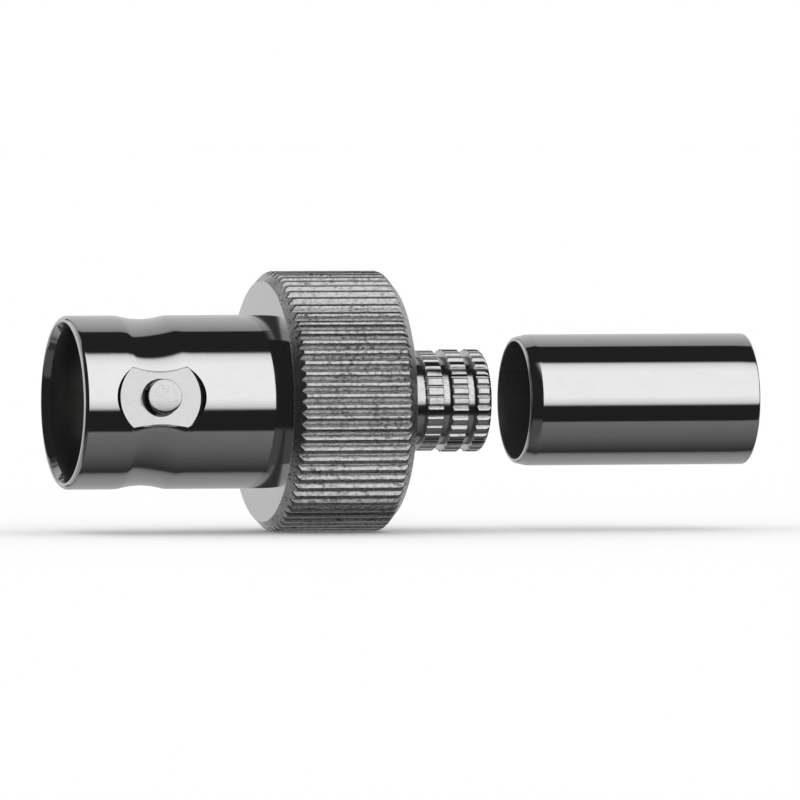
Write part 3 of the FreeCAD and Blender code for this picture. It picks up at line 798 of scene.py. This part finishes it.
# soft walls for glossy rays to find, laid out by the ray's direction
def buildStudio():
    s = studio
    world = bpy.data.worlds.new("studio")
    bpy.context.scene.world = world
    world.use_nodes = True
    tree = world.node_tree
    tree.nodes.clear()
    add, link = tree.nodes.new, tree.links.new

    def calc(operation, *values):
        return mathNode(tree, operation, *values)

    def rise(value, edge):
        return riseNode(tree, value, *s[edge])

    parts = add("ShaderNodeSeparateXYZ")
    link(add("ShaderNodeTexCoord").outputs["Generated"], parts.inputs[0])
    x, y, z = (parts.outputs[name] for name in "XYZ")
    path = add("ShaderNodeLightPath").outputs

    angle = calc("ARCTAN2", z, calc("MULTIPLY", y, -1))
    ramp = add("ShaderNodeValToRGB")
    link(calc("ADD", calc("DIVIDE", angle, 2 * math.pi), 0.5), ramp.inputs["Fac"])
    stops = ramp.color_ramp.elements
    for number, (degrees, grey) in enumerate(s["bands"]):
        place = (degrees + 180) / 360
        if number < 2:  # a new ramp has two stops
            stops[number].position = place
            stop = stops[number]
        else:
            stop = stops.new(place)
        stop.color = (grey, grey, grey, 1)

    lit = calc("MAXIMUM", rise(x, "sideEdge"), rise(y, "backEdge"))
    dark = mixNode(tree, rise(z, "lowEdge"), s["lowGrey"], s["darkGrey"])
    seen = mixNode(tree, lit, dark, ramp.outputs["Color"])

    high = calc("ABSOLUTE", z)
    leftSide = calc("SUBTRACT", 1, rise(x, "glowLeft"))
    above = calc("MULTIPLY", rise(high, "glowHigh"), rise(y, "glowBack"))
    glow = calc("MULTIPLY", calc("MULTIPLY", leftSide, above), s["glowGrey"])
    room = calc("MAXIMUM", seen, glow)

    across = calc("SUBTRACT", rise(x, "slotLeft"), rise(x, "slotRight"))
    twice = calc("GREATER_THAN", path["Ray Depth"], s["slotDepth"])
    slot = calc("MULTIPLY", calc("MULTIPLY", across, rise(high, "slotHigh")), twice)
    slot = calc("MULTIPLY", slot, 1 - s["slotGrey"])
    room = calc("MINIMUM", room, calc("SUBTRACT", 1, slot))

    gap = calc("MULTIPLY", rise(x, "farEnd"), calc("SUBTRACT", 1, rise(high, "farHigh")))
    whole = add("ShaderNodeMix")
    link(gap, whole.inputs["Factor"])
    link(room, whole.inputs["A"])
    whole.inputs["B"].default_value = s["farGrey"]

    light = add("ShaderNodeBackground")
    link(mixNode(tree, path["Is Glossy Ray"], s["openLight"], whole.outputs["Result"]),
         light.inputs["Color"])
    link(light.outputs[0], add("ShaderNodeOutputWorld").inputs["Surface"])


buildStudio()

ground = {"half": 1.2, "color": (0.93, 0.93, 0.93, 1), "lift": 0.07}


# the lift whitens the floor for the camera alone
def layFloor():
    low, half = cadBox[0][2], ground["half"]
    corners = [(-half, -half, low), (half, -half, low), (half, half, low), (-half, half, low)]
    floor = newPiece("floor", corners, [(0, 1, 2, 3)])
    material, tree, shader = newMaterial("paleFloor")
    shader.inputs["Base Color"].default_value = ground["color"]
    shader.inputs["Roughness"].default_value = 1.0
    shader.inputs["Specular IOR Level"].default_value = 0.0
    path = tree.nodes.new("ShaderNodeLightPath")
    lift = mathNode(tree, "MULTIPLY", path.outputs["Is Camera Ray"], ground["lift"])
    shader.inputs["Emission Color"].default_value = (1, 1, 1, 1)
    tree.links.new(lift, shader.inputs["Emission Strength"])
    floor.data.materials.append(material)
    floor.visible_glossy = False


layFloor()
print("studio built")


view = {
    "azimuth": -16.0, "elevation": 1.5, "roll": 0.08, "distance": 1.5,
    "target": (0.019460, 0, 0.00004), "frameWidth": 0.0445, "sensor": 36, "clip": (0.01, 10),
}


def placeCamera():
    v = view
    data = bpy.data.cameras.new("camera")
    camera = bpy.data.objects.new("camera", data)
    bpy.context.scene.collection.objects.link(camera)
    azimuth, elevation = math.radians(v["azimuth"]), math.radians(v["elevation"])
    level = math.cos(elevation)
    out = Vector((math.sin(azimuth) * level, -math.cos(azimuth) * level, math.sin(elevation)))
    camera.location = Vector(v["target"]) + out * v["distance"]
    upright = (-out).to_track_quat("-Z", "Y")
    roll = Quaternion((0, 0, 1), math.radians(v["roll"]))
    camera.rotation_euler = (upright @ roll).to_euler()
    data.sensor_width = v["sensor"]
    data.lens = v["sensor"] * v["distance"] / v["frameWidth"]
    data.clip_start, data.clip_end = v["clip"]
    bpy.context.scene.camera = camera


placeCamera()
print("camera placed")
